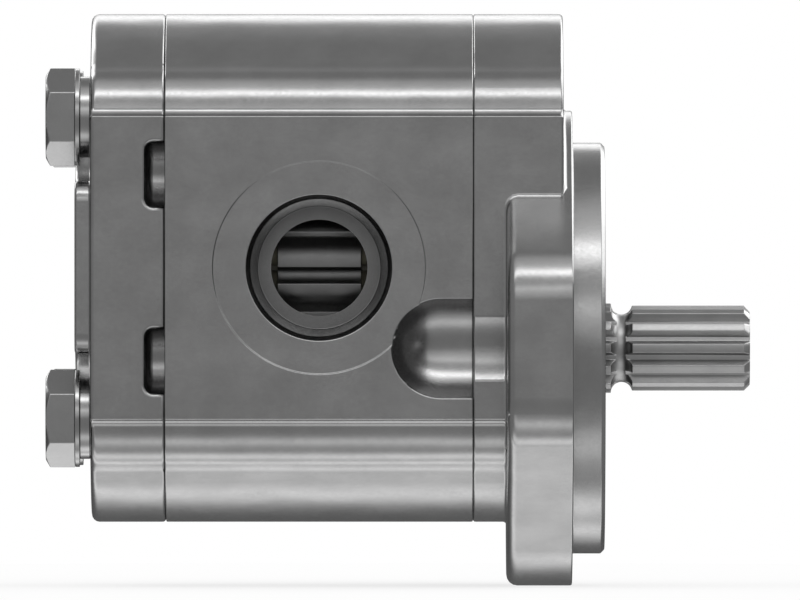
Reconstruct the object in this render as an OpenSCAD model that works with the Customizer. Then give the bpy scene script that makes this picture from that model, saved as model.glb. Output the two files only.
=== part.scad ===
// External gear pump, three-piece bolted casing with a two-bolt pilot flange
// and a splined drive shaft.
//
// X runs along the shafts and out of the splined end, Z is up. The origin is
// on the mounting face, at the centre of the pilot, on the drive shaft's axis.
// All lengths are in millimetres.

/* [Casing] */
// Length of the middle housing along the shafts
housing_len = 61.6; // [58:0.2:70]
// Thickness of the rear cover without its raised pad
rear_cover_t = 14.9; // [13:0.1:20]
// Thickness of the front cover up to the step behind the mounting face
front_cover_t = 18; // [17:0.1:24]
// Step from the front cover's body to the mounting face
face_step = 1.9; // [1:0.1:3]
// Radius of the domed top and bottom
dome_r = 51; // [50.4:0.1:53]
// Width across the two flat port pads
pad_w = 83.2; // [82:0.1:86]
// Height of the flat port pads
pad_h = 60.6; // [60:0.1:61]
// Radius of the lobe round each casing bolt
lobe_r = 10; // [9:0.1:10.5]
// Radius of the blend in the valley between a lobe and the dome
valley_r = 18; // [10:0.5:24]
// Radius of the blend from a lobe out to the port pad
step_r = 2; // [1:0.1:2.2]

/* [Rear pad] */
// Height of the raised pad on the rear cover
rear_pad_t = 3.1; // [2:0.1:5]
// Width of the raised pad
rear_pad_w = 79; // [70:0.5:80]
// Height of the raised pad at its sides
rear_pad_side_h = 34.5; // [33:0.5:35]
// Height of the raised pad at its middle
rear_pad_h = 76.4; // [70:0.2:80]
// Width of the raised pad at its top and bottom
rear_pad_neck_w = 34; // [32:0.5:34.5]
// Radius of the cut that clears each bolt head
bolt_clear_r = 12.8; // [11.5:0.1:13]
// Radius of the pad's own corners
rear_pad_corner_r = 4.1; // [2:0.1:5]

/* [Pry pockets] */
// Height of each pry pocket at the rear joint
pry_h = 13; // [10:0.5:14]
// Length of each pry pocket along the shafts
pry_len = 3.9; // [3:0.1:6]
// Depth of each pry pocket into the side
pry_depth = 9; // [7:0.5:10]
// Height of the pry pockets above and below the middle
pry_dz = 18.6; // [16:0.2:20]

/* [Mounting flange] */
// Thickness of the flange plate
flange_t = 13.2; // [11:0.2:16]
// Radius of the round part of the flange
flange_r = 47.7; // [46:0.1:50]
// Distance between the two mounting holes
mount_pitch = 106.4; // [106:0.1:110]
// Diameter of the mounting holes
mount_hole_d = 11.1; // [9:0.1:13]
// Distance from a mounting hole's centre to the flat end of its ear
ear_out = 11.2; // [9.8:0.1:14]
// Height of the flat end of an ear
ear_flat_h = 19.3; // [16:0.1:22]
// Radius of an ear's corners
ear_r = 11.7; // [10:0.1:13]
// Diameter of the pilot
pilot_d = 82.55; // [80:0.05:84]
// Height of the pilot
pilot_h = 6.5; // [6:0.1:8]
// Chamfer on the pilot's edge
pilot_chamfer = 0.8; // [0.4:0.1:1.5]

/* [Mounting bolt clearance] */
// Radius of the ball-ended pocket in the housing
pocket_r = 11; // [10:0.1:12]
// Distance of the pocket's axis outside the port pad
pocket_out = 4.6; // [4:0.1:6]
// Length of the pocket's straight part
pocket_len = 6.4; // [4:0.2:10]
// Radius of the groove in the front cover
groove_r = 12.2; // [11:0.1:13]
// Distance of the groove's axis outside the port pad
groove_out = 10.4; // [10:0.1:10.8]

/* [Inlet port] */
// Diameter of the inlet's spotface
inlet_face_d = 42.5; // [40:0.5:46]
// Diameter of the inlet's seal seat at the surface
inlet_seat_d = 29.2; // [28:0.1:31]
// Diameter over the crests of the inlet's thread
inlet_thread_d = 24.8; // [22:0.1:26]
// Depth of the inlet's thread
inlet_depth = 20; // [16:0.5:21]
// Diameter of the hole into the gear chamber
inlet_hole_d = 19.3; // [14:0.1:21]

/* [Outlet port] */
// Diameter of the outlet's spotface
outlet_face_d = 36; // [34:0.5:42]
// Diameter of the outlet's seal seat at the surface
outlet_seat_d = 24; // [23:0.1:27]
// Diameter over the crests of the outlet's thread
outlet_thread_d = 20.4; // [18:0.1:21]
// Depth of the outlet's thread
outlet_depth = 18; // [14:0.5:21]
// Diameter of the hole into the gear chamber
outlet_hole_d = 15.5; // [12:0.1:17]

/* [Ports] */
// Depth of both spotfaces
port_face_depth = 0.4; // [0.2:0.1:1]
// Depth of the seal seats
port_seat_depth = 3.3; // [2.5:0.1:4]
// Slope of the seal seats
port_seat_angle = 15; // [12:1:18]

/* [Gears] */
// Distance between the two shafts
gear_centres = 32.2; // [31.8:0.1:32.6]
// Number of teeth on each gear
gear_teeth = 12; // [11:1:13]
// Pressure angle of the gears
pressure_angle = 25; // [24:1:27]
// Width of the gears
gear_w = 16.8; // [12:0.2:20]
// Backlash between the teeth
backlash = 0.16; // [0.1:0.02:0.3]
// Radial gap between the tooth tips and the housing
tip_gap = 0.07; // [0.05:0.01:0.1]
// Gap on each side of the gears
side_gap = 0.04; // [0.03:0.01:0.08]

/* [Shafts] */
// Diameter of the bearing journals
journal_d = 18; // [16:0.5:18.5]
// Diameter of the drive shaft's neck before the spline
neck_d = 13.6; // [12:0.1:14]
// Radius of the neck's round groove
neck_groove_r = 2.15; // [1.8:0.05:2.5]
// Distance from the mounting face to the middle of the neck
neck_x = 9.95; // [9.2:0.05:12]
// Distance from the mounting face to the shaft's end
shaft_out = 35.7; // [30:0.1:45]

/* [Spline] */
// Number of spline teeth
spline_teeth = 12; // [10:1:14]
// Diameter over the spline's teeth
spline_d = 17.1; // [16.4:0.1:17.6]
// Diameter at the roots of the spline
spline_root_d = 14.1; // [13.8:0.1:14.6]
// Width of a spline tooth at its tip
spline_tip_w = 1.75; // [1.2:0.05:2]
// Width of a spline tooth at its root
spline_root_w = 2.75; // [2.4:0.05:3]
// Chamfer on the shaft's end
spline_chamfer = 1.15; // [0.5:0.05:1.5]

/* [Bearings] */
// Wall of the bearing bushes
bush_wall = 1.5; // [1:0.1:2.5]
// Length of the bearing bushes
bush_len = 18; // [14:0.5:19]
// Running gap between a journal and its bush
bush_gap = 0.03; // [0.02:0.01:0.05]
// Gap between a bearing block and the housing
block_gap = 0.04; // [0.03:0.01:0.1]
// Gap between a bearing block and its cover
block_end_gap = 0.15; // [0.1:0.05:0.3]

/* [Seals] */
// Width of the balance seals
balance_seal_w = 1.8; // [1.4:0.1:2.2]
// Thickness of the rubber balance seals
balance_seal_t = 1.8; // [1.2:0.1:2]
// Thickness of the plastic backup rings
backup_t = 1.1; // [0.8:0.1:1.3]
// Diameter of the cord in the housing's section seals
cord_d = 1.9; // [1.5:0.1:2.2]
// Wall between the gear chamber and a section seal's groove
cord_wall = 2; // [1.8:0.1:2.5]
// Outer diameter of the shaft seal
shaft_seal_d = 32; // [30:0.5:34]
// Width of the shaft seal
shaft_seal_w = 7; // [6:0.5:8]
// Distance from the pilot's face to the shaft seal's front
shaft_seal_in = 3.5; // [3:0.1:4.5]
// Thickness of the seal's retaining ring
ring_t = 1.2; // [1:0.1:1.5]
// Depth of the retaining ring's groove
ring_groove = 0.85; // [0.5:0.05:1.2]

/* [Casing bolts] */
// Distance of the bolts to each side of the middle
bolt_dy = 29.8; // [29.4:0.1:30]
// Distance of the bolts above and below the middle
bolt_dz = 30.1; // [30:0.1:30.4]
// Diameter of the bolts
bolt_d = 10; // [8:1:10]
// Length of the bolts below the head
bolt_len = 90; // [89:1:93]
// Width across the flats of the bolt heads
bolt_af = 17; // [15:0.5:18]
// Height of the bolt heads
bolt_head_h = 5.9; // [5:0.1:7]
// Diameter of the flat washers
washer_d = 19.4; // [18.5:0.1:21]
// Thickness of the flat washers
washer_t = 0.9; // [0.6:0.1:1.6]
// Diameter of the spring washers
spring_washer_d = 16.2; // [15.5:0.1:18]
// Thickness of the spring washers
spring_washer_t = 2.1; // [1.8:0.1:2.6]
// Width of the slit in the spring washers
slit_w = 1.2; // [0.6:0.1:2]
// Angle of the slit about each bolt, from the top towards the inlet side
slit_turn = 215; // [0:5:355]

/* [Dowels] */
// Diameter of the dowel pins
dowel_d = 6; // [5:0.5:6]
// Length of the dowel pins
dowel_len = 12; // [10:1:14]
// Distance of the dowel pins to each side of the middle
dowel_dy = 29; // [28:0.1:30]

/* [Clearances] */
// Gap at pressed and threaded joints
press_gap = 0.01; // [0.01:0.01:0.03]
// Gap round the bolts in their holes
bolt_gap = 0.5; // [0.3:0.1:0.6]
// Gap round each soft seal in its groove
seal_gap = 0.1; // [0.05:0.01:0.15]
// Gap round the drive shaft in the front cover
shaft_gap = 0.5; // [0.3:0.1:1]

/* [Hidden] */
$fn = 96;

// Small amount by which a cut runs past the face it opens
past = 1;

// Stations along the shafts, from the front backwards
front_joint_x = -face_step - front_cover_t;
rear_joint_x = front_joint_x - housing_len;
rear_face_x = rear_joint_x - rear_cover_t;
mid_x = (front_joint_x + rear_joint_x) / 2;
washer_face_x = rear_face_x - spring_washer_t;
head_face_x = washer_face_x - washer_t;

// Middle of the casing, half way between the two shafts
mid_z = gear_centres / 2;
pad_y = pad_w / 2;
pad_z = pad_h / 2;

// Gear sizes
gear_module = gear_centres / gear_teeth;
pitch_r = gear_centres / 2;
base_r = pitch_r * cos(pressure_angle);
tip_r = pitch_r + gear_module;
root_r = pitch_r - 1.25 * gear_module;
flank_steps = 6;
chamber_r = tip_r + tip_gap;
journal_r = journal_d / 2;

// Bearing blocks and their grooves
block_r = chamber_r - block_gap;
block_len = (housing_len - gear_w) / 2 - side_gap - block_end_gap;
bush_r = journal_r + bush_gap + bush_wall;
block_bore_r = bush_r + press_gap;
bush_inset = (block_len - bush_len) / 2;
balance_r = (block_bore_r + block_r) / 2;
balance_cut = -0.3 * block_r;
balance_depth = balance_seal_t + backup_t + seal_gap;
shaft_end_gap = 0.6;
relief_w = 5;
relief_h = 7;
relief_depth = 1.6;
journal_chamfer = 0.8;

// Section seals between the housing and the covers
cord_r = chamber_r + cord_wall + cord_d / 2 + seal_gap;
cord_seat = cord_d + seal_gap;

// Port between the thread's crests and the seal seat
port_chamfer_angle = 45;

// Shaft seal
shaft_seal_r = shaft_seal_d / 2;
seal_front_x = pilot_h - shaft_seal_in;
seal_back_x = seal_front_x - shaft_seal_w;
seal_lip_r = journal_r + bush_gap;
seal_shell = 1.6;
seal_web = 1.8;
seal_lip_t = 1.9;
spring_coil_d = 1.4;
spring_r = seal_lip_r + seal_lip_t + spring_coil_d / 2;
ring_x = seal_front_x + bush_gap;
ring_out_r = shaft_seal_r + ring_groove - seal_gap;
ring_w = 2.3;
ring_open = 9;
ring_lug_r = 2.2;
ring_hole_r = 1.1;

// Chamfer on the bolt heads: its slope, and a turn that keeps its seam off a corner
crown_angle = 30;
crown_turn = 15;

// Neck and spline
spline_tip_r = spline_d / 2;
spline_cut_x = pilot_h - 0.6;
shoulder_x = neck_x - neck_groove_r;

// Rear cover's end reliefs behind the two journals
end_relief_r = journal_r - 2.5;
end_relief_depth = 3;

// Draws its 2D child in the Y-Z plane and stretches it from x0 to x1
module slab(x0, x1) {
    translate([x0, 0, 0]) rotate([90, 0, 90]) linear_extrude(x1 - x0) children();
}

// Turns its 2D child about the X axis; the child holds radius against X
module turned() {
    rotate([0, 90, 0]) rotate_extrude() children();
}

// A round bar or bore along X
module bar(x0, x1, r) {
    translate([x0, 0, 0]) rotate([0, 90, 0]) cylinder(h = x1 - x0, r = r);
}

// Repeats its child at each casing bolt
module at_bolts() {
    for (side = [-1, 1], level = [-1, 1])
        translate([0, side * bolt_dy, mid_z + level * bolt_dz]) children();
}

// Repeats its child at both dowels
module at_dowels() {
    for (side = [-1, 1]) translate([0, side * dowel_dy, mid_z]) children();
}

// Repeats its child on both shaft axes
module at_shafts() {
    for (level = [0, 1]) translate([0, 0, level * gear_centres]) children();
}

// Centre of a circle of radius r that touches two circles from outside
function touching(r, c, rc, d, rd) =
    let (span = norm(d - c), a = (span ^ 2 + (rc + r) ^ 2 - (rd + r) ^ 2) / (2 * span),
         h = sqrt((rc + r) ^ 2 - a ^ 2), u = (d - c) / span)
    c + a * u + h * [-u.y, u.x];

// Cross-section shared by the three casing pieces, about the middle of the casing
module casing_core() {
    intersection() {
        circle(dome_r);
        square([2 * bolt_dy + lobe_r, 2 * dome_r + past], center = true);
    }
    square([pad_w, pad_h], center = true);
    for (side = [-1, 1], level = [-1, 1])
        translate([side * bolt_dy, level * bolt_dz]) circle(lobe_r);
}

// Hollow blends from each lobe to the dome and to the port pad
module casing_blends() {
    lobe = [bolt_dy, bolt_dz];
    valley = touching(valley_r, [0, 0], dome_r, lobe, lobe_r);
    step_dz = pad_z + step_r;
    step = [bolt_dy + sqrt((lobe_r + step_r) ^ 2 - (step_dz - bolt_dz) ^ 2), step_dz];
    for (flip_y = [0, 1], flip_z = [0, 1]) mirror([flip_y, 0]) mirror([0, flip_z]) {
        difference() {
            polygon([[0, 0], lobe, valley]);
            translate(valley) circle(valley_r);
        }
        intersection() {
            difference() {
                polygon([lobe, step, [step.x, pad_z - past], [lobe.x, pad_z - past]]);
                translate(step) circle(step_r);
            }
            square([pad_w, 2 * dome_r], center = true);
        }
    }
}

// A length of the casing from x0 to x1
module casing_slab(x0, x1) {
    translate([0, 0, mid_z]) {
        slab(x0, x1) casing_core();
        slab(x0, x1) casing_blends();
    }
}

// A rectangle with round corners
module rounded_rect(w, h, r) {
    square([w - 2 * r, h], center = true);
    square([w, h - 2 * r], center = true);
    for (side = [-1, 1], level = [-1, 1])
        translate([side * (w / 2 - r), level * (h / 2 - r)]) circle(r);
}

// Raised pad on the rear cover: a cross whose inner corners clear the bolts
module rear_pad_outline() {
    rounded_rect(rear_pad_w, rear_pad_side_h, rear_pad_corner_r);
    rounded_rect(rear_pad_neck_w, rear_pad_h, rear_pad_corner_r);
    difference() {
        square([2 * bolt_dy, 2 * bolt_dz], center = true);
        for (side = [-1, 1], level = [-1, 1])
            translate([side * bolt_dy, level * bolt_dz]) circle(bolt_clear_r);
    }
}

// Flange plate, about the drive shaft: a disc with two flat-ended ears
module flange_outline() {
    ear = [mount_pitch / 2 + ear_out - ear_r, ear_flat_h / 2];
    lean = atan2(ear.y, ear.x) + acos((flange_r - ear_r) / norm(ear));
    normal = [cos(lean), sin(lean)];
    quarter = [flange_r * normal, ear + ear_r * normal, ear + [ear_r, 0]];
    circle(flange_r);
    for (side = [-1, 1], level = [-1, 1])
        translate([side * ear.x, level * ear.y]) circle(ear_r);
    polygon(concat(
        [for (p = quarter) p],
        [for (i = [2:-1:0]) [quarter[i].x, -quarter[i].y]],
        [for (p = quarter) -p],
        [for (i = [2:-1:0]) [-quarter[i].x, quarter[i].y]]
    ));
}

// Two overlapping circles round the shaft axes, about the middle of the casing
module figure_eight(r) {
    for (level = [-1, 1]) translate([0, level * mid_z]) circle(r);
}

// One port, drilled from the side pad into the gear chamber
module port(face_d, seat_d, thread_d, depth, hole_d) {
    seat_r = seat_d / 2;
    thread_r = thread_d / 2;
    floor_y = port_face_depth;
    seat_end_r = seat_r - port_seat_depth * tan(port_seat_angle);
    chamfer = (seat_end_r - thread_r) / tan(port_chamfer_angle);
    rotate_extrude() polygon([
        [0, -past], [face_d / 2, -past], [face_d / 2, floor_y], [seat_r, floor_y],
        [seat_end_r, floor_y + port_seat_depth],
        [thread_r, floor_y + port_seat_depth + chamfer],
        [thread_r, floor_y + depth], [hole_d / 2, floor_y + depth],
        [hole_d / 2, pad_y - mid_z / 4], [0, pad_y - mid_z / 4]
    ]);
}

// Places a port on the near (-1) or far (1) side pad
module on_pad(side) {
    translate([mid_x, side * pad_y, mid_z]) rotate([side * 90, 0, 0]) children();
}

// Groove for one section seal, open at the joint face x and running in one direction
module section_path(r) {
    for (level = [-1, 1]) translate([0, level * mid_z]) circle(r);
    square([2 * r, 2 * mid_z], center = true);
}

module section_groove(x0, x1) {
    half_w = cord_d / 2 + seal_gap;
    translate([0, 0, mid_z]) slab(x0, x1) difference() {
        section_path(cord_r + half_w);
        section_path(cord_r - half_w);
    }
}

// Section seal: two half rings joined by two straight cords
module section_seal(x) {
    cord = cord_d / 2;
    translate([x, 0, mid_z]) {
        for (level = [-1, 1]) translate([0, 0, level * mid_z]) rotate([90, 0, 90])
            rotate(level == 1 ? 0 : 180)
                rotate_extrude(angle = 180) translate([cord_r, 0]) circle(cord);
        for (side = [-1, 1]) translate([0, side * cord_r, -mid_z]) cylinder(h = 2 * mid_z, r = cord);
    }
}

module rear_cover() {
    color("#7a7a7a") difference() {
        union() {
            casing_slab(rear_face_x, rear_joint_x);
            translate([0, 0, mid_z]) slab(rear_face_x - rear_pad_t, rear_face_x + past)
                rear_pad_outline();
        }
        at_bolts() bar(rear_face_x - rear_pad_t - past, rear_joint_x + past, bolt_d / 2 + bolt_gap);
        at_dowels() bar(rear_joint_x - dowel_len / 2 - past, rear_joint_x + past,
            dowel_d / 2 + press_gap);
        at_shafts() bar(rear_joint_x - end_relief_depth, rear_joint_x + past, end_relief_r);
        pry_pockets();
    }
}

// Pockets in the rear cover's sides, where a lever parts it from the housing
module pry_pockets() {
    r = pry_h / 2;
    for (side = [-1, 1], level = [-1, 1])
        translate([0, side * (pad_y - pry_depth + r), mid_z + level * pry_dz])
            slab(rear_joint_x - pry_len, rear_joint_x + past) {
                circle(r);
                translate([side * pad_y / 2, 0]) square([pad_y, pry_h], center = true);
            }
}

module gear_housing() {
    color("#7e7e7e") difference() {
        casing_slab(rear_joint_x, front_joint_x);
        translate([0, 0, mid_z]) slab(rear_joint_x - past, front_joint_x + past)
            figure_eight(chamber_r);
        at_bolts() bar(rear_joint_x - past, front_joint_x + past, bolt_d / 2 + bolt_gap);
        at_dowels() bar(rear_joint_x - past, rear_joint_x + dowel_len / 2 + past,
            dowel_d / 2 + press_gap);
        at_dowels() bar(front_joint_x - dowel_len / 2 - past, front_joint_x + past,
            dowel_d / 2 + press_gap);
        section_groove(rear_joint_x - past, rear_joint_x + cord_seat);
        section_groove(front_joint_x - cord_seat, front_joint_x + past);
        on_pad(-1) inlet_port();
        on_pad(1) outlet_port();
        for (side = [-1, 1])
            translate([front_joint_x - pocket_len, side * (pad_y + pocket_out), 0]) ball_pocket();
    }
}

// Ball-ended pocket along X, open towards the flange
module ball_pocket() {
    turned() intersection() {
        union() {
            circle(pocket_r);
            square([pocket_r, pocket_len + past]);
        }
        translate([0, -pocket_r]) square([pocket_r, pocket_r + pocket_len + past]);
    }
}

module inlet_port() {
    port(inlet_face_d, inlet_seat_d, inlet_thread_d, inlet_depth, inlet_hole_d);
}

module outlet_port() {
    port(outlet_face_d, outlet_seat_d, outlet_thread_d, outlet_depth, outlet_hole_d);
}

module front_cover() {
    color("#7a7a7a") difference() {
        union() {
            difference() {
                casing_slab(front_joint_x, -face_step);
                for (side = [-1, 1]) translate([0, side * (pad_y + groove_out), 0])
                    bar(front_joint_x - past, -flange_t, groove_r);
            }
            slab(-flange_t, 0) flange_outline();
            turned() polygon([
                [0, -past], [pilot_d / 2, -past], [pilot_d / 2, pilot_h - pilot_chamfer],
                [pilot_d / 2 - pilot_chamfer, pilot_h], [0, pilot_h]
            ]);
        }
        for (side = [-1, 1]) translate([0, side * mount_pitch / 2, 0])
            bar(-flange_t - past, past, mount_hole_d / 2);
        at_bolts() bar(front_joint_x - past, head_face_x + bolt_len + past, bolt_d / 2 + press_gap);
        at_dowels() bar(front_joint_x - past, front_joint_x + dowel_len / 2 + past,
            dowel_d / 2 + press_gap);
        bar(front_joint_x - past, pilot_h + past, journal_r + shaft_gap);
        bar(seal_back_x, pilot_h + past, shaft_seal_r + press_gap);
        bar(ring_x - seal_gap, ring_x + ring_t + seal_gap, shaft_seal_r + ring_groove);
    }
}

// Angle between a tooth's centre line and its flank at radius r
function flank_angle(r) =
    let (lean = acos(min(1, base_r / r)), unit = 180 / PI,
         half = unit * (PI * gear_module / 2 - backlash / 2) / (2 * pitch_r),
         here = unit * tan(lean) - lean, pitch = unit * tan(pressure_angle) - pressure_angle)
    half + pitch - here;

function polar(r, a) = r * [cos(a), sin(a)];

// Gear outline with involute flanks; a tooth points along the first axis
module gear_outline() {
    flank_r = [for (i = [0:flank_steps]) base_r + (tip_r - base_r) * i / flank_steps];
    polygon([for (t = [0:gear_teeth - 1]) let (a = 360 * t / gear_teeth) each concat(
        [polar(root_r, a - flank_angle(base_r) - 1)],
        [for (r = flank_r) polar(r, a - flank_angle(r))],
        [for (i = [flank_steps:-1:0]) polar(flank_r[i], a + flank_angle(flank_r[i]))],
        [polar(root_r, a + flank_angle(base_r) + 1)]
    )]);
}

module gear(turn) {
    slab(mid_x - gear_w / 2, mid_x + gear_w / 2) rotate(turn) gear_outline();
}

// A journal along X with both ends chamfered
module journal(x0, x1) {
    c = journal_chamfer;
    turned() polygon([
        [0, x0], [journal_r - c, x0], [journal_r, x0 + c],
        [journal_r, x1 - c], [journal_r - c, x1], [0, x1]
    ]);
}

// Spline outline; its tips run past the shaft, which is turned to size
module spline_outline() {
    past_r = journal_r + past;
    tip = asin(spline_tip_w / 2 / spline_tip_r);
    root = asin(spline_root_w / spline_root_d);
    polygon([for (t = [0:spline_teeth - 1]) let (a = 360 * t / spline_teeth) each [
        polar(spline_root_d / 2, a - root), polar(spline_tip_r, a - tip), polar(past_r, a - tip),
        polar(past_r, a + tip), polar(spline_tip_r, a + tip), polar(spline_root_d / 2, a + root)
    ]]);
}

module drive_gear_shaft() {
    c = spline_chamfer;
    color("#8c8c8c") {
        difference() {
            union() {
                journal(rear_joint_x + shaft_end_gap, spline_cut_x + journal_chamfer);
                intersection() {
                    turned() polygon([
                        [0, spline_cut_x - past], [journal_r, spline_cut_x - past],
                        [journal_r, neck_x], [spline_tip_r, neck_x],
                        [spline_tip_r, shaft_out - c], [spline_tip_r - c, shaft_out],
                        [0, shaft_out]
                    ]);
                    union() {
                        slab(spline_cut_x, shaft_out + past) rotate(180) spline_outline();
                        bar(spline_cut_x - past, spline_cut_x, journal_r + past);
                    }
                }
                gear(90 + 180 / gear_teeth);
            }
            turned() translate([neck_d / 2 + neck_groove_r, neck_x]) circle(neck_groove_r);
        }
    }
}

module driven_gear_shaft() {
    color("#8c8c8c") translate([0, 0, gear_centres]) {
        journal(rear_joint_x + shaft_end_gap, front_joint_x - shaft_end_gap);
        gear(-90);
    }
}

// Path of a balance seal: two open rings joined at the waist
module balance_path(w) {
    difference() {
        union() {
            difference() {
                figure_eight(balance_r + w / 2);
                figure_eight(balance_r - w / 2);
            }
            square([w, 2 * (mid_z - balance_r) + w], center = true);
        }
        translate([balance_cut - 2 * chamber_r, -2 * chamber_r])
            square([2 * chamber_r, 4 * chamber_r]);
    }
}

// Bearing block at one end; dir is 1 at the front and -1 at the rear
module bearing_block(dir) {
    inner = mid_x + dir * (gear_w / 2 + side_gap);
    outer = inner + dir * block_len;
    difference() {
        translate([0, 0, mid_z]) slab(min(inner, outer), max(inner, outer)) figure_eight(block_r);
        at_shafts() bar(min(inner, outer) - past, max(inner, outer) + past, block_bore_r);
        translate([0, 0, mid_z]) balance_slab(outer, -dir, balance_depth, 2 * seal_gap, past);
        for (side = [-1, 1]) translate([inner, side * relief_h, mid_z])
            cube([2 * relief_depth, relief_h, relief_w], center = true);
    }
}

// A balance-seal shape of thickness t, from face x into the block
module balance_slab(x, into, t, extra_w, open) {
    a = x - into * open;
    b = x + into * t;
    slab(min(a, b), max(a, b)) balance_path(balance_seal_w + extra_w);
}

module front_bearing_block() {
    color("#b9b48f") bearing_block(1);
}

module rear_bearing_block() {
    color("#b9b48f") bearing_block(-1);
}

// Plain bush in a bearing block
module bush(dir, axis_z) {
    start = mid_x + dir * (gear_w / 2 + side_gap + bush_inset);
    x0 = min(start, start + dir * bush_len);
    color("#9c7b4a") translate([0, 0, axis_z]) difference() {
        bar(x0, x0 + bush_len, bush_r);
        bar(x0 - past, x0 + bush_len + past, journal_r + bush_gap);
    }
}

module drive_rear_bush() {
    bush(-1, 0);
}

module driven_rear_bush() {
    bush(-1, gear_centres);
}

module drive_front_bush() {
    bush(1, 0);
}

module driven_front_bush() {
    bush(1, gear_centres);
}

// Rubber balance seal at the bottom of a block's groove
module balance_seal(dir) {
    outer = mid_x + dir * (gear_w / 2 + side_gap + block_len);
    color("#2c2c2c") translate([0, 0, mid_z])
        balance_slab(outer - dir * (backup_t + seal_gap / 2), -dir, balance_seal_t, 0, 0);
}

// Plastic ring between a balance seal and its cover
module backup_ring(dir) {
    outer = mid_x + dir * (gear_w / 2 + side_gap + block_len);
    color("#e6e0cc") translate([0, 0, mid_z])
        balance_slab(outer - dir * seal_gap / 4, -dir, backup_t, 0, 0);
}

module rear_balance_seal() {
    balance_seal(-1);
}

module front_balance_seal() {
    balance_seal(1);
}

module rear_backup_ring() {
    backup_ring(-1);
}

module front_backup_ring() {
    backup_ring(1);
}

module rear_section_seal() {
    color("#2c2c2c") section_seal(rear_joint_x + cord_seat / 2);
}

module front_section_seal() {
    color("#2c2c2c") section_seal(front_joint_x - cord_seat / 2);
}

// Radial lip seal with its lip towards the gears
module shaft_seal() {
    back = seal_back_x + press_gap;
    front = seal_front_x;
    groove_x = back + spring_coil_d;
    color("#33322f") difference() {
        turned() polygon([
            [shaft_seal_r - seal_shell, back], [shaft_seal_r, back], [shaft_seal_r, front],
            [seal_lip_r + seal_lip_t, front], [seal_lip_r + seal_lip_t / 2, front - seal_web / 2],
            [seal_lip_r + seal_lip_t / 2, groove_x + seal_lip_t], [seal_lip_r, groove_x],
            [seal_lip_r + seal_lip_t / 3, back], [seal_lip_r + seal_lip_t, back],
            [seal_lip_r + seal_lip_t, front - seal_web], [shaft_seal_r - seal_shell, front - seal_web]
        ]);
        turned() translate([spring_r, groove_x]) circle(spring_coil_d / 2 + press_gap);
    }
}

// Coiled spring round the seal's lip, drawn as the ring that it fills
module seal_garter_spring() {
    color("#a8a8a8") turned()
        translate([spring_r, seal_back_x + press_gap + spring_coil_d]) circle(spring_coil_d / 2);
}

// Internal retaining ring with two pliers holes
module seal_retaining_ring() {
    lug_y = ring_out_r - ring_w - ring_lug_r / 2;
    lug_turn = asin((ring_open / 2 + ring_lug_r / 3) / lug_y);
    color("#5c5c5c") slab(ring_x, ring_x + ring_t) rotate(-90) difference() {
        union() {
            difference() {
                circle(ring_out_r);
                circle(ring_out_r - ring_w);
                translate([0, -ring_open / 2]) square([2 * ring_out_r, ring_open]);
            }
            for (side = [-1, 1]) rotate(side * lug_turn) translate([lug_y, 0]) circle(ring_lug_r);
        }
        for (side = [-1, 1]) rotate(side * lug_turn) translate([lug_y, 0]) circle(ring_hole_r);
    }
}

// Two dowel pins across the joint at x
module dowels(x) {
    c = journal_chamfer;
    r = dowel_d / 2;
    half = dowel_len / 2;
    color("#9a9a9a") at_dowels() turned() polygon([
        [0, x - half], [r - c, x - half], [r, x - half + c],
        [r, x + half - c], [r - c, x + half], [0, x + half]
    ]);
}

module rear_dowels() {
    dowels(rear_joint_x);
}

module front_dowels() {
    dowels(front_joint_x);
}

// Hexagon bolts from the rear cover into the front cover
module case_bolts() {
    corner_r = bolt_af / sqrt(3);
    crown_r = bolt_af / 2 * 0.97;
    crown_out = corner_r - crown_r + past;
    head_end_x = head_face_x - bolt_head_h;
    shank_r = bolt_d / 2;
    c = bolt_d / 10;
    end_x = head_face_x + bolt_len;
    color("#9a9a9a") at_bolts() {
        intersection() {
            slab(head_face_x - bolt_head_h, head_face_x) rotate(30) circle(corner_r, $fn = 6);
            rotate([crown_turn, 0, 0]) turned() polygon([
                [0, head_end_x], [crown_r, head_end_x],
                [crown_r + crown_out, head_end_x + crown_out * tan(crown_angle)],
                [crown_r + crown_out, head_face_x + past], [0, head_face_x + past]
            ]);
        }
        turned() polygon([
            [0, head_face_x - c], [shank_r, head_face_x - c], [shank_r, end_x - c],
            [shank_r - c, end_x], [0, end_x]
        ]);
    }
}

module flat_washers() {
    color("#a4a4a4") at_bolts() difference() {
        bar(head_face_x, washer_face_x, washer_d / 2);
        bar(head_face_x - past, washer_face_x + past, (bolt_d + bolt_gap) / 2);
    }
}

module spring_washers() {
    color("#8e8e8e") at_bolts() difference() {
        bar(washer_face_x, rear_face_x, spring_washer_d / 2);
        bar(washer_face_x - past, rear_face_x + past, (bolt_d + bolt_gap) / 2);
        rotate([slit_turn, 0, 0]) translate([washer_face_x - past, -slit_w / 2, 0])
            cube([spring_washer_t + 2 * past, slit_w, spring_washer_d]);
    }
}

rear_cover();
gear_housing();
front_cover();
drive_gear_shaft();
driven_gear_shaft();
rear_bearing_block();
front_bearing_block();
drive_rear_bush();
driven_rear_bush();
drive_front_bush();
driven_front_bush();
rear_balance_seal();
front_balance_seal();
rear_backup_ring();
front_backup_ring();
rear_section_seal();
front_section_seal();
shaft_seal();
seal_garter_spring();
seal_retaining_ring();
rear_dowels();
front_dowels();
case_bolts();
flat_washers();
spring_washers();
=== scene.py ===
import math

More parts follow.
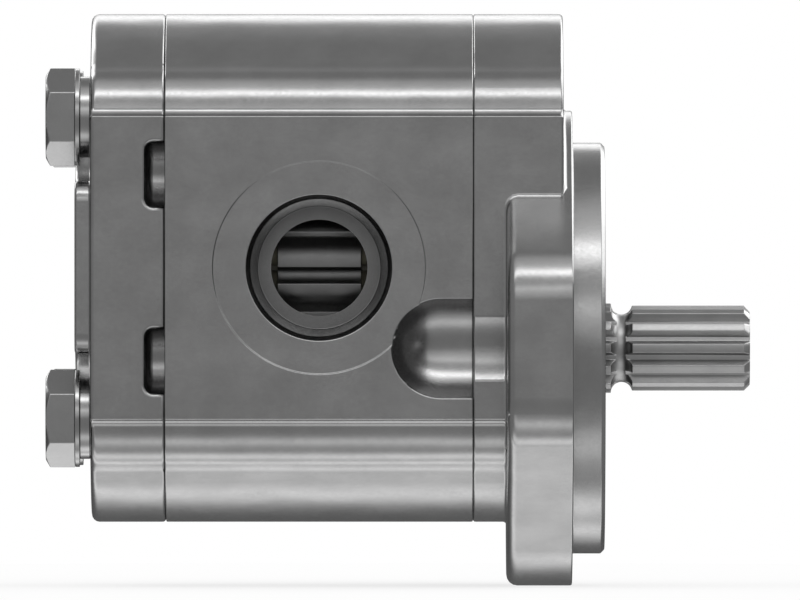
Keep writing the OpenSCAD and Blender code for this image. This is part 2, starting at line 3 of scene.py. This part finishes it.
import bmesh
import bpy
from mathutils import Matrix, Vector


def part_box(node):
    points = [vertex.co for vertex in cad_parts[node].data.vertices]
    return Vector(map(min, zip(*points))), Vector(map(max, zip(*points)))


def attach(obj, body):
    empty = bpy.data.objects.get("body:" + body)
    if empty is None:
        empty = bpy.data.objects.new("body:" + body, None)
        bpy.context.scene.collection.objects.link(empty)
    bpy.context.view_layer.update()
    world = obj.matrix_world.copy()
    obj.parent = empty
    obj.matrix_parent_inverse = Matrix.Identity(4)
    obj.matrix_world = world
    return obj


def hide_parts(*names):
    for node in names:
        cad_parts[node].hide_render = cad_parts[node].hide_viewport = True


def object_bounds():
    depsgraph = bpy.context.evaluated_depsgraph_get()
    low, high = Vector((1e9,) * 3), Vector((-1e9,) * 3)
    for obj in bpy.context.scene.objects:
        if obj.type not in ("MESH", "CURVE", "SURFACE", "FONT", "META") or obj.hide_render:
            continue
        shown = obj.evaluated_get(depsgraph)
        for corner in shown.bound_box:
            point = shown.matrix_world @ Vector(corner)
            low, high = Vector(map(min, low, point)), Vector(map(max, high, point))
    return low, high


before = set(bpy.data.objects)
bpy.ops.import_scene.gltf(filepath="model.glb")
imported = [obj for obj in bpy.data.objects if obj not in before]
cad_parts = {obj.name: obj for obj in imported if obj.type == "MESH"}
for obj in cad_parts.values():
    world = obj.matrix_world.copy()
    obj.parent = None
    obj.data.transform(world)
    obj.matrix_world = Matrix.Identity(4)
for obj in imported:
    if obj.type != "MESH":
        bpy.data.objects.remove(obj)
cad_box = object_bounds()

# Rear cover
# The real piece is an aluminium casting, machined all round, that closes the back of the gear
# chamber. It has a raised pad between the four bolt heads and four pry pockets at its joint.
# It is a copy of the CAD piece with each of its edges rounded as the real one is.

MM = 0.001
TOUCH = 0.05 * MM

# Places of faces and edges, read from the part's boxes where these give them
rear_joint_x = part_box("gear_housing")[0].x
front_joint_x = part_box("gear_housing")[1].x
rear_face_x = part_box("spring_washers")[1].x
raised_pad_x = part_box("rear_cover")[0].x
pad_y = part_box("gear_housing")[1].y
pad_half_h = 30.3 * MM
mid_z = (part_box("gear_housing")[0].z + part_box("gear_housing")[1].z) / 2
bolt_y = 29.8 * MM
bolt_dz = 30.1 * MM
bolt_hole_reach = 7 * MM
pry_len = 3.9 * MM
pry_half_h = 6.5 * MM
pry_dz = 18.6 * MM

# Radii of the rounded edges
pry_end_r = 1.7 * MM
pry_lip_r = 0.8 * MM
pad_corner_r = 0.25 * MM
cover_joint_r = 0.7 * MM
raised_pad_edge_r = 0.7 * MM
raised_pad_fillet_r = 0.5 * MM
# The rim's round narrows where the rim runs into a corner of the flat pads
rear_rim_r = 1.5 * MM
rear_rim_corner_r = 0.6 * MM
rim_corner_reach = 2.5 * MM

# An edge that turns more than the first angle can be rounded. Strips that turn less than the
# second are joined. Only a face with more corners than the last is divided by the cuts.
sharp_turn = math.radians(24)
flat_turn = math.radians(0.6)
few_corners = 8


def softened(node, piece_name, rounds, widest, segments=4, merge=0.004 * MM, cuts=()):
    """Copies a CAD piece and rounds its edges in turn; each round gives the radius of one edge.

    A cut is a plane, point and normal, that divides the faces with many corners, so that their
    rounds keep their width.
    """
    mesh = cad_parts[node].data.copy()
    mesh.name = piece_name
    piece = bpy.data.objects.new(piece_name, mesh)
    bpy.context.scene.collection.objects.link(piece)
    for number, radius_of in enumerate(rounds):
        bm = bmesh.new()
        bm.from_mesh(piece.data)
        if number == 0:
            bmesh.ops.remove_doubles(bm, verts=bm.verts, dist=merge)
            bmesh.ops.dissolve_limit(bm, angle_limit=flat_turn, verts=bm.verts, edges=bm.edges)
            for point, normal in cuts:
                for face in bm.faces:
                    face.tag = len(face.verts) > few_corners
                faces = [face for face in bm.faces if face.tag]
                edges = [edge for edge in bm.edges if any(face.tag for face in edge.link_faces)]
                verts = [vert for vert in bm.verts if any(face.tag for face in vert.link_faces)]
                bmesh.ops.bisect_plane(bm, geom=faces + edges + verts, dist=TOUCH / 10,
                    plane_co=point, plane_no=normal)
            for face in bm.faces:
                face.smooth = True
        layers = bm.edges.layers.float
        weight = layers.get("bevel_weight_edge") or layers.new("bevel_weight_edge")
        for edge in bm.edges:
            turn = edge.calc_face_angle_signed(0.0)
            is_sharp = abs(turn) > sharp_turn
            middle = (edge.verts[0].co + edge.verts[1].co) / 2
            radius = radius_of(edge, middle, turn > 0) if is_sharp else 0
            edge[weight] = radius / widest
            if number == 0 or radius > 0:
                edge.smooth = radius > 0 or not is_sharp
        bm.to_mesh(piece.data)
        bm.free()
        bevel = piece.modifiers.new("rounded edges", "BEVEL")
        bevel.limit_method = "WEIGHT"
        bevel.width = widest
        bevel.segments = segments
        bevel.use_clamp_overlap = False
        graph = bpy.context.evaluated_depsgraph_get()
        piece.data = bpy.data.meshes.new_from_object(piece.evaluated_get(graph))
        piece.data.name = piece_name
        piece.modifiers.clear()
    normals = piece.modifiers.new("even shading", "WEIGHTED_NORMAL")
    normals.keep_sharp = True
    return piece


def lies_in(edge, x):
    """True where an edge lies in the plane at x."""
    return all(abs(vert.co.x - x) < TOUCH for vert in edge.verts)


def near_bolt(point):
    """True close to the axis of a casing bolt."""
    return math.hypot(abs(point.y) - bolt_y, abs(point.z - mid_z) - bolt_dz) < bolt_hole_reach


def outside(point):
    """True on the outline that the three casing pieces share."""
    beside = abs(point.y) > pad_y - TOUCH
    above = abs(point.z - mid_z) > pad_half_h - TOUCH
    return (beside or above) and not near_bolt(point)


def on_pad_corner(point):
    """True on a long edge of a flat port pad."""
    return abs(abs(point.y) - pad_y) < TOUCH and abs(abs(point.z - mid_z) - pad_half_h) < TOUCH


def in_pry_pocket(point):
    """True inside the length of the pry pockets, off the joint face."""
    along = rear_joint_x - pry_len - TOUCH < point.x < rear_joint_x - TOUCH
    return along and abs(abs(point.z - mid_z) - pry_dz) < pry_half_h + TOUCH


def pry_pocket_end(edge, middle, convex):
    """Round between the end wall and the floor of a pry pocket."""
    return pry_end_r if not convex and lies_in(edge, rear_joint_x - pry_len) else 0


def rear_cover_outer(edge, middle, convex):
    """Radii of the rear cover's outer edges."""
    if not convex:
        return 0
    if lies_in(edge, rear_face_x):
        from_corner = math.hypot(abs(middle.y) - pad_y, abs(middle.z - mid_z) - pad_half_h)
        rim_r = rear_rim_corner_r if from_corner < rim_corner_reach else rear_rim_r
        return rim_r if outside(middle) else 0
    if lies_in(edge, raised_pad_x):
        return raised_pad_edge_r if not near_bolt(middle) else 0
    if lies_in(edge, rear_joint_x):
        return cover_joint_r if outside(middle) else 0
    if on_pad_corner(middle):
        return pad_corner_r
    if in_pry_pocket(middle) and abs(middle.y) > pad_y - TOUCH:
        return pry_lip_r
    return 0


def rear_cover_hollow(edge, middle, convex):
    """Fillet where the raised pad stands on the rear cover."""
    return raised_pad_fillet_r if not convex and lies_in(edge, rear_face_x) else 0


def hex_colour(code):
    """Linear colour from an sRGB hex code."""
    parts = [int(code[i:i + 2], 16) / 255 for i in (1, 3, 5)]
    return [c / 12.92 if c <= 0.04045 else ((c + 0.055) / 1.055) ** 2.4 for c in parts] + [1]


def add_node(tree, kind, inputs=None, **settings):
    """Adds one node with its settings; inputs are values or sockets of other nodes."""
    node = tree.nodes.new(kind)
    for name, value in settings.items():
        setattr(node, name, value)
    for name, value in (inputs or {}).items():
        if isinstance(value, bpy.types.NodeSocket):
            tree.links.new(value, node.inputs[name])
        else:
            node.inputs[name].default_value = value
    return node


def per_metre(size_mm):
    """Scale of a noise whose features are size_mm across."""
    return 1 / (size_mm * MM)


# Walls further off than this cast no painted shade, nor does a place that sees this share of the
# sky
recess_reach = 30 * MM
open_share = 0.48
# Nearly all of a noise lies between these two values, and roughness follows it by these factors
noise_low, noise_high = 0.3, 0.7
smoother, rougher = 0.85, 1.2


def worn_metal(name, dark, light, roughness, patch_mm, grain_mm, bump_mm, deepest_shade, own_recesses=True):
    """Bare metal: soft patches of two greys, a fine grain, and painted shade in deep recesses.

    The real grain is finer than a tenth of a millimetre, and is drawn coarser so that it shows.
    """
    material = bpy.data.materials.new(name)
    material.use_nodes = True
    tree = material.node_tree
    shader = tree.nodes["Principled BSDF"]
    shader.inputs["Metallic"].default_value = 1
    place = add_node(tree, "ShaderNodeTexCoord").outputs["Object"]
    patches = add_node(tree, "ShaderNodeTexNoise", {
        "Vector": place, "Scale": per_metre(patch_mm), "Detail": 4, "Roughness": 0.55})
    grain = add_node(tree, "ShaderNodeTexNoise", {
        "Vector": place, "Scale": per_metre(grain_mm), "Detail": 3, "Roughness": 0.6})
    colour = add_node(tree, "ShaderNodeMix", {
        "Factor": patches.outputs["Fac"], "A": hex_colour(dark), "B": hex_colour(light)},
        data_type="RGBA")
    # Painted shade: the base colour darkens where walls close round a place, down to the given
    # deepest share in the deepest recesses
    openness = add_node(tree, "ShaderNodeAmbientOcclusion", {"Distance": recess_reach},
        samples=8, only_local=own_recesses)
    painted_recess_shade = add_node(tree, "ShaderNodeMapRange", {
        "Value": openness.outputs["AO"], "From Min": 0, "From Max": open_share,
        "To Min": deepest_shade, "To Max": 1})
    recess_shaded_colour = add_node(tree, "ShaderNodeMix", {
        "Factor": 1, "A": colour.outputs["Result"], "B": painted_recess_shade.outputs["Result"]},
        data_type="RGBA", blend_type="MULTIPLY")
    tree.links.new(recess_shaded_colour.outputs["Result"], shader.inputs["Base Color"])
    spread = add_node(tree, "ShaderNodeMapRange", {
        "Value": grain.outputs["Fac"], "From Min": noise_low, "From Max": noise_high,
        "To Min": roughness * smoother, "To Max": roughness * rougher})
    tree.links.new(spread.outputs["Result"], shader.inputs["Roughness"])
    waves = add_node(tree, "ShaderNodeTexNoise", {
        "Vector": place, "Scale": per_metre(patch_mm), "Detail": 0.5})
    relief = add_node(tree, "ShaderNodeBump", {
        "Height": waves.outputs["Fac"], "Strength": 1, "Distance": bump_mm * MM})
    fine_relief = add_node(tree, "ShaderNodeBump", {
        "Height": grain.outputs["Fac"], "Strength": 1,
        "Distance": bump_mm * MM * grain_mm / patch_mm, "Normal": relief.outputs["Normal"]})
    tree.links.new(fine_relief.outputs["Normal"], shader.inputs["Normal"])
    return material


# Machined aluminium casting, grey and half bright: broad smudges, a faint cast waviness, and
# painted shade in deep recesses
casing_metal = worn_metal("machined_cast_aluminium", "#909090", "#aaaaaa", 0.22, 9, 0.7, 0.12, 0.25)

# The rear face is divided across its bolt holes, a little off their middles, so that it stays
# flat round the raised pad
across_y = bolt_y + 0.7 * MM
across_dz = bolt_dz - 1.2 * MM
rear_cuts = [((0, y, 0), (0, 1, 0)) for y in (-across_y, 0, across_y)]
rear_cuts += [((0, 0, mid_z + dz), (0, 0, 1)) for dz in (-across_dz, 0, across_dz)]
rear_cover = softened(
    "rear_cover", "rear_cover_casting", (pry_pocket_end, rear_cover_outer, rear_cover_hollow),
    pry_end_r, cuts=rear_cuts)
rear_cover.data.materials.clear()
rear_cover.data.materials.append(casing_metal)
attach(rear_cover, "casing")
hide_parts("rear_cover")

# Gear housing
# The middle casting holds the gears and their bearing blocks. Both side pads are milled flat and
# hold a port each, with a turned spotface and seal seat, and a round-ended cutter has cleared
# room for the mounting bolts. Its edges are only deburred.

port_x = (rear_joint_x + front_joint_x) / 2
port_floor_y = pad_y - 20.4 * MM
thread_r = 12.4 * MM
pocket_y = 46.2 * MM
pocket_r = 11 * MM
deburred_r = 0.3 * MM
turned_edge_r = 0.2 * MM
thread_floor_r = 0.25 * MM
# Edges this close under a pad's surface belong to the turned rings of its port, and past this
# radius they belong to the spotface
turned_depth = 0.5 * MM
past_seat_r = 17 * MM


def from_port(point):
    """Distance from the axis of the two ports."""
    return math.hypot(point.x - port_x, point.z - mid_z)


def in_pocket(point):
    """True in the pocket that clears the mounting bolt, or the groove that carries it on."""
    return math.hypot(abs(point.y) - pocket_y, point.z) < pocket_r + TOUCH


def gear_housing_outer(edge, middle, convex):
    """Radii of the gear housing's outer edges."""
    if not convex:
        return 0
    if lies_in(edge, rear_joint_x) or lies_in(edge, front_joint_x):
        return deburred_r if outside(middle) or in_pocket(middle) else 0
    if on_pad_corner(middle):
        return pad_corner_r
    if abs(middle.y) > pad_y - turned_depth:
        return turned_edge_r
    return 0


def gear_housing_hollow(edge, middle, convex):
    """Fillets at the edge of the spotfaces and at the floor of the ports' thread."""
    if convex:
        return 0
    if abs(middle.y) > pad_y - turned_depth and from_port(middle) > past_seat_r:
        return turned_edge_r
    if abs(abs(middle.y) - port_floor_y) < TOUCH and abs(from_port(middle) - thread_r) < TOUCH:
        return thread_floor_r
    return 0


# The pads are divided near the joint and across the pocket, so that each edge keeps its width
beside_joint_x = front_joint_x - 1 * MM
across_pocket_x = -33 * MM
across_pocket_z = -8 * MM
housing_cuts = [((x, 0, 0), (1, 0, 0)) for x in (beside_joint_x, across_pocket_x)]
housing_cuts += [((0, 0, across_pocket_z), (0, 0, 1))]
housing = softened(
    "gear_housing", "gear_housing_casting", (gear_housing_outer, gear_housing_hollow),
    deburred_r, segments=3, merge=0.02 * MM, cuts=housing_cuts)
housing.data.materials.clear()
housing.data.materials.append(casing_metal)
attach(housing, "casing")
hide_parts("gear_housing")

# Front cover
# One casting carries the mounting flange with its two ears, and the pilot that centres the pump.
# The faces are machined; the flange keeps the cast radius at its back and the casting's fillets
# where it grows out of the cover.

mounting_face_x = 0
step_x = -1.9 * MM
flange_back_x = -13.2 * MM
mount_y = 53.2 * MM
mount_hole_reach = 6.5 * MM
beside_seal_bore = 30 * MM
cast_r = 2.2 * MM
mount_hole_edge_r = 0.5 * MM
front_joint_r = 0.5 * MM
step_edge_r = 0.7 * MM
mounting_face_r = 0.4 * MM
pilot_edge_r = 0.15 * MM
pilot_fillet_r = 0.3 * MM
step_fillet_r = 0.9 * MM
flange_fillet_r = 0.7 * MM


def front_cover_outer(edge, middle, convex):
    """Radii of the front cover's outer edges."""
    if not convex:
        return 0
    if math.hypot(abs(middle.y) - mount_y, middle.z) < mount_hole_reach:
        return mount_hole_edge_r
    if lies_in(edge, front_joint_x):
        return front_joint_r if outside(middle) or in_pocket(middle) else 0
    if lies_in(edge, flange_back_x):
        return cast_r
    if lies_in(edge, step_x):
        return step_edge_r
    if front_joint_x < middle.x < flange_back_x and abs(middle.y) > pad_y - TOUCH:
        return deburred_r
    if lies_in(edge, mounting_face_x):
        return mounting_face_r
    if middle.x > step_x:
        return pilot_edge_r if math.hypot(middle.y, middle.z) > beside_seal_bore else 0
    if on_pad_corner(middle):
        return pad_corner_r
    return 0


def front_cover_hollow(edge, middle, convex):
    """Fillets where the flange and the pilot grow out of the front cover."""
    if convex:
        return 0
    if lies_in(edge, mounting_face_x):
        return pilot_fillet_r
    if lies_in(edge, step_x):
        return step_fillet_r
    if lies_in(edge, flange_back_x) or abs(middle.y) > pad_y - TOUCH:
        return flange_fillet_r
    return 0


# The flange is divided across its ears and mounting holes, and along the step over it
step_cut_ys = [-38 * MM, -27 * MM, 27 * MM, 38 * MM]
ear_cut_zs = [-13 * MM, 0.3 * MM, 32 * MM]
front_cuts = [((0, y, 0), (0, 1, 0)) for y in [-mount_y, 0, mount_y] + step_cut_ys]
front_cuts += [((0, 0, z), (0, 0, 1)) for z in ear_cut_zs]
front_cover = softened(
    "front_cover", "front_cover_casting", (front_cover_outer, front_cover_hollow), cast_r,
    cuts=front_cuts)
front_cover.data.materials.clear()
front_cover.data.materials.append(casing_metal)
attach(front_cover, "casing")
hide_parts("front_cover")

# Casing bolts, flat washers and spring washers
# Four zinc-plated M10 bolts with chamfered hexagon heads hold the three castings together, each
# on a flat washer and a split spring washer. Forged, stamped and rolled, their edges are slightly
# round.

# Zinc plating, a little brighter than the casting, and even on the stamped and rolled washers
bolt_steel = worn_metal("zinc_plated_bolt_steel", "#989898", "#a8a8a8", 0.2, 6, 0.6, 0.03, 0.6)
washer_steel = worn_metal(
    "zinc_plated_washer_steel", "#999999", "#a7a7a7", 0.2, 5, 0.6, 0.005, 0.6)
forged_edge_r = 0.2 * MM
stamped_edge_r = 0.12 * MM

for node, piece_name, edge_r, metal, slot in (
        ("case_bolts", "hexagon_bolts", forged_edge_r, bolt_steel, "bolt_steel"),
        ("flat_washers", "plain_washers", stamped_edge_r, washer_steel, "washer_steel"),
        ("spring_washers", "split_washers", forged_edge_r, washer_steel, "washer_steel")):
    piece = softened(node, piece_name, [lambda edge, middle, convex: edge_r], edge_r, segments=2)
    piece.data.materials.clear()
    piece.data.materials.append(metal)
    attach(piece, "casing")
    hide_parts(node)

# Drive shaft with its gear, and driven gear
# Both are hardened steel, ground on the journals and the teeth. The drive shaft ends in a splined
# stub outside the pilot; the cutter's run-out leaves the teeth open at the shoulder.

# Ground steel, whose fine grinding marks blur what it mirrors more than the plating does
shaft_steel = worn_metal(
    "ground_shaft_steel", "#999999", "#ababab", 0.36, 5, 0.4, 0.02, 0.8, own_recesses=False)
tooth_edge_r = 0.12 * MM

for node, piece_name, body in (
        ("drive_gear_shaft", "splined_drive_shaft", "drive"),
        ("driven_gear_shaft", "driven_gear", "driven")):
    piece = softened(
        node, piece_name, [lambda edge, middle, convex: tooth_edge_r], tooth_edge_r, segments=2)
    piece.data.materials.clear()
    piece.data.materials.append(shaft_steel)
    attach(piece, body)
    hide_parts(node)

# Pieces inside the casing
# The bearing blocks are die-cast aluminium with lined bronze bushes. Rubber seals, plastic backup
# rings, the shaft seal with its spring and retaining ring, and the dowels keep their CAD form.

mould_relief = 0.02 * MM


def moulded(name, dark, light, roughness, grain_mm):
    """Moulded rubber or plastic: two close tones and a fine matt grain."""
    material = bpy.data.materials.new(name)
    material.use_nodes = True
    tree = material.node_tree
    shader = tree.nodes["Principled BSDF"]
    shader.inputs["Roughness"].default_value = roughness
    place = add_node(tree, "ShaderNodeTexCoord").outputs["Object"]
    grain = add_node(tree, "ShaderNodeTexNoise", {
        "Vector": place, "Scale": per_metre(grain_mm), "Detail": 3})
    colour = add_node(tree, "ShaderNodeMix", {
        "Factor": grain.outputs["Fac"], "A": hex_colour(dark), "B": hex_colour(light)},
        data_type="RGBA")
    tree.links.new(colour.outputs["Result"], shader.inputs["Base Color"])
    relief = add_node(tree, "ShaderNodeBump", {
        "Height": grain.outputs["Fac"], "Strength": 1, "Distance": mould_relief})
    tree.links.new(relief.outputs["Normal"], shader.inputs["Normal"])
    return material


# Warm grey die casting, yellow bronze, and dark spring steel with its tempering skin
block_metal = worn_metal(
    "die_cast_block_aluminium", "#b0aea2", "#bdbbb0", 0.35, 6, 0.5, 0.02, 0.5, own_recesses=False)
bush_bronze = worn_metal(
    "lined_bush_bronze", "#a5814c", "#b58f58", 0.28, 3, 0.3, 0.005, 0.5, own_recesses=False)
spring_steel = worn_metal(
    "tempered_spring_steel", "#55565a", "#636468", 0.3, 3, 0.3, 0.01, 0.6, own_recesses=False)
# Black rubber and ivory plastic, both matt from the mould
nitrile = moulded("nitrile_rubber", "#1b1b1b", "#262626", 0.5, 0.4)
backup_plastic = moulded("moulded_backup_plastic", "#ddd6c0", "#e6e0cc", 0.45, 0.6)

inner_finishes = {
    "rear_bearing_block": (block_metal, "block_aluminium"),
    "front_bearing_block": (block_metal, "block_aluminium"),
    "drive_rear_bush": (bush_bronze, "bush_bronze"),
    "driven_rear_bush": (bush_bronze, "bush_bronze"),
    "drive_front_bush": (bush_bronze, "bush_bronze"),
    "driven_front_bush": (bush_bronze, "bush_bronze"),
    "rear_balance_seal": (nitrile, "seal_rubber"),
    "front_balance_seal": (nitrile, "seal_rubber"),
    "rear_section_seal": (nitrile, "seal_rubber"),
    "front_section_seal": (nitrile, "seal_rubber"),
    "shaft_seal": (nitrile, "seal_rubber"),
    "rear_backup_ring": (backup_plastic, "backup_plastic"),
    "front_backup_ring": (backup_plastic, "backup_plastic"),
    "seal_garter_spring": (spring_steel, "spring_steel"),
    "seal_retaining_ring": (spring_steel, "spring_steel"),
    "rear_dowels": (shaft_steel, "shaft_steel"),
    "front_dowels": (shaft_steel, "shaft_steel"),
}
for node, (finish, slot) in inner_finishes.items():
    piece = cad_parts[node]
    piece.data.materials.clear()
    piece.data.materials.append(finish)

# Studio
# A white room. Round the pump stand grey cards, with long soft boxes between them that run along
# it above and below, as for a catalogue picture of bright metal: gloss mirrors these, and matt
# surfaces see the even white, so that colours render about as they are written.

world = bpy.data.worlds.new("white_room")
bpy.context.scene.world = world
world.use_nodes = True
tree = world.node_tree
direction = add_node(tree, "ShaderNodeTexCoord").outputs["Generated"]
parts = add_node(tree, "ShaderNodeSeparateXYZ", {"Vector": direction})
towards_camera = add_node(tree, "ShaderNodeMath", {0: parts.outputs["Y"], 1: -1},
    operation="MULTIPLY")
turn = add_node(tree, "ShaderNodeMath", {0: parts.outputs["Z"], 1: towards_camera.outputs[0]},
    operation="ARCTAN2")

# Each soft box: angle about the pump's length from the camera's side upwards, half width in
# degrees, and the light that it adds at its middle
soft_boxes = [
    (12, 12, 0.43), (23.5, 9, 0.9), (50, 55, 0.34), (56.5, 11, 3.1), (68, 12, 0.38),
    (84, 22, 0.36), (140, 18, 0.2), (159, 15, 2.1),
    (-55.5, 15, 0.57), (-62, 40, 0.35), (-100, 20, 1.4), (-124, 13.5, 1.5), (-134, 12, 0.35),
]
light = add_node(tree, "ShaderNodeValue")
light.outputs[0].default_value = 0
total = light.outputs[0]
for angle, half_width, strength in soft_boxes:
    away = add_node(tree, "ShaderNodeMath", {0: turn.outputs[0], 1: math.radians(angle)},
        operation="SUBTRACT")
    off_middle = add_node(tree, "ShaderNodeMath", {0: away.outputs[0]}, operation="ABSOLUTE")
    box = add_node(tree, "ShaderNodeMapRange", {
        "Value": off_middle.outputs[0], "From Min": 0, "From Max": math.radians(half_width),
        "To Min": strength, "To Max": 0}, interpolation_type="SMOOTHSTEP")
    total = add_node(tree, "ShaderNodeMath", {0: total, 1: box.outputs[0]},
        operation="ADD").outputs[0]

# Places in the room are given by parts of a direction of length 1, here and below. The soft
# boxes fade out between these two parts to each side.
boxes_fade, boxes_end = 0.45, 0.75
sideways = add_node(tree, "ShaderNodeMath", {0: parts.outputs["X"]}, operation="ABSOLUTE")
ends = add_node(tree, "ShaderNodeMapRange", {
    "Value": sideways.outputs[0], "From Min": boxes_fade, "From Max": boxes_end,
    "To Min": 1, "To Max": 0}, interpolation_type="SMOOTHSTEP")
boxes = add_node(tree, "ShaderNodeMath", {0: total, 1: ends.outputs[0]}, operation="MULTIPLY")

# Two more soft boxes stand past the pump's ends, above its middle and behind it, and the one at
# the shaft's end reaches further to the front
side_level = 2.6
side_starts, side_full = 0.22, 0.42
above_starts, above_full = 0.2, 0.4
shaft_end_reach = 0.5
behind_starts, behind_full = 0.2, 0.45
past_end = add_node(tree, "ShaderNodeMapRange", {
    "Value": sideways.outputs[0], "From Min": side_starts, "From Max": side_full,
    "To Min": 0, "To Max": side_level}, interpolation_type="SMOOTHSTEP")
above = add_node(tree, "ShaderNodeMapRange", {
    "Value": parts.outputs["Z"], "From Min": above_starts, "From Max": above_full,
    "To Min": 0, "To Max": 1}, interpolation_type="SMOOTHSTEP")
backwards = add_node(tree, "ShaderNodeMath", {
    0: parts.outputs["X"], 1: shaft_end_reach, 2: parts.outputs["Y"]}, operation="MULTIPLY_ADD")
behind = add_node(tree, "ShaderNodeMapRange", {
    "Value": backwards.outputs[0], "From Min": behind_starts, "From Max": behind_full,
    "To Min": 0, "To Max": 1}, interpolation_type="SMOOTHSTEP")
high_behind = add_node(tree, "ShaderNodeMath", {0: above.outputs[0], 1: behind.outputs[0]},
    operation="MULTIPLY")
side_boxes = add_node(tree, "ShaderNodeMath", {0: past_end.outputs[0], 1: high_behind.outputs[0]},
    operation="MULTIPLY")

# The cards behind the pump are darker than those on the camera's side
near_card, far_card = 0.365, 0.13
near_cards_end, far_cards_start = math.radians(110), math.radians(170)
angle_off = add_node(tree, "ShaderNodeMath", {0: turn.outputs[0]}, operation="ABSOLUTE")
cards = add_node(tree, "ShaderNodeMapRange", {
    "Value": angle_off.outputs[0], "From Min": near_cards_end, "From Max": far_cards_start,
    "To Min": near_card, "To Max": far_card}, interpolation_type="SMOOTHSTEP")
both_boxes = add_node(tree, "ShaderNodeMath", {0: boxes.outputs[0], 1: side_boxes.outputs[0]},
    operation="ADD")
mirrored = add_node(tree, "ShaderNodeMath", {0: both_boxes.outputs[0], 1: cards.outputs[0]},
    operation="ADD")
rays = add_node(tree, "ShaderNodeLightPath")
brightness = add_node(tree, "ShaderNodeMix", {
    "Factor": rays.outputs["Is Glossy Ray"], "A": 1.0, "B": mirrored.outputs[0]})
room = tree.nodes["Background"]
room.inputs["Color"].default_value = (1, 1, 1, 1)
tree.links.new(brightness.outputs["Result"], room.inputs["Strength"])

floor_z = cad_box[0].z
floor_x = -35 * MM
floor_r = 450 * MM
bm = bmesh.new()
bmesh.ops.create_circle(bm, cap_ends=True, segments=96, radius=floor_r)
floor_mesh = bpy.data.meshes.new("floor")
bm.to_mesh(floor_mesh)
bm.free()
floor_mesh.transform(Matrix.Translation((floor_x, 0, floor_z)))
floor = bpy.data.objects.new("floor", floor_mesh)
bpy.context.scene.collection.objects.link(floor)
floor.visible_glossy = False
floor_paint = bpy.data.materials.new("matt_white_floor")
floor_paint.use_nodes = True
tree = floor_paint.node_tree
paint = tree.nodes["Principled BSDF"]
paint.inputs["Base Color"].default_value = hex_colour("#fbfbfb")
paint.inputs["Roughness"].default_value = 0.9
paint.inputs["Specular IOR Level"].default_value = 0
# The camera sees the paint nearly as white as the room, with a faint shadow of the pump
glow_share = 0.75
glow = add_node(tree, "ShaderNodeEmission", {"Color": (1, 1, 1, 1), "Strength": 1})
sees = add_node(tree, "ShaderNodeLightPath")
share = add_node(tree, "ShaderNodeMath", {0: sees.outputs["Is Camera Ray"], 1: glow_share},
    operation="MULTIPLY")
bright = add_node(tree, "ShaderNodeMixShader", {
    0: share.outputs[0], 1: paint.outputs["BSDF"], 2: glow.outputs["Emission"]})
tree.links.new(bright.outputs["Shader"], tree.nodes["Material Output"].inputs["Surface"])
floor_mesh.materials.append(floor_paint)

# Camera
# A very long lens, level and square to the inlet side, because the photograph has almost no
# perspective. Its picture is 160 mm wide in a plane half way between the shafts and the port pad.

frame_w = 160 * MM
lens_mm = 1200
sensor_mm = 36
picture_x = -34.54 * MM
picture_y = -25 * MM
picture_z = 9.66 * MM
camera_data = bpy.data.cameras.new("camera")
camera_data.lens = lens_mm
camera_data.sensor_width = sensor_mm
camera_data.clip_end = 20
camera = bpy.data.objects.new("camera", camera_data)
bpy.context.scene.collection.objects.link(camera)
distance = frame_w * lens_mm / sensor_mm
camera.location = (picture_x, picture_y - distance, picture_z)
camera.rotation_euler = (math.radians(90), 0, 0)
bpy.context.scene.camera = camera
bpy.context.scene.view_settings.view_transform = "Standard"
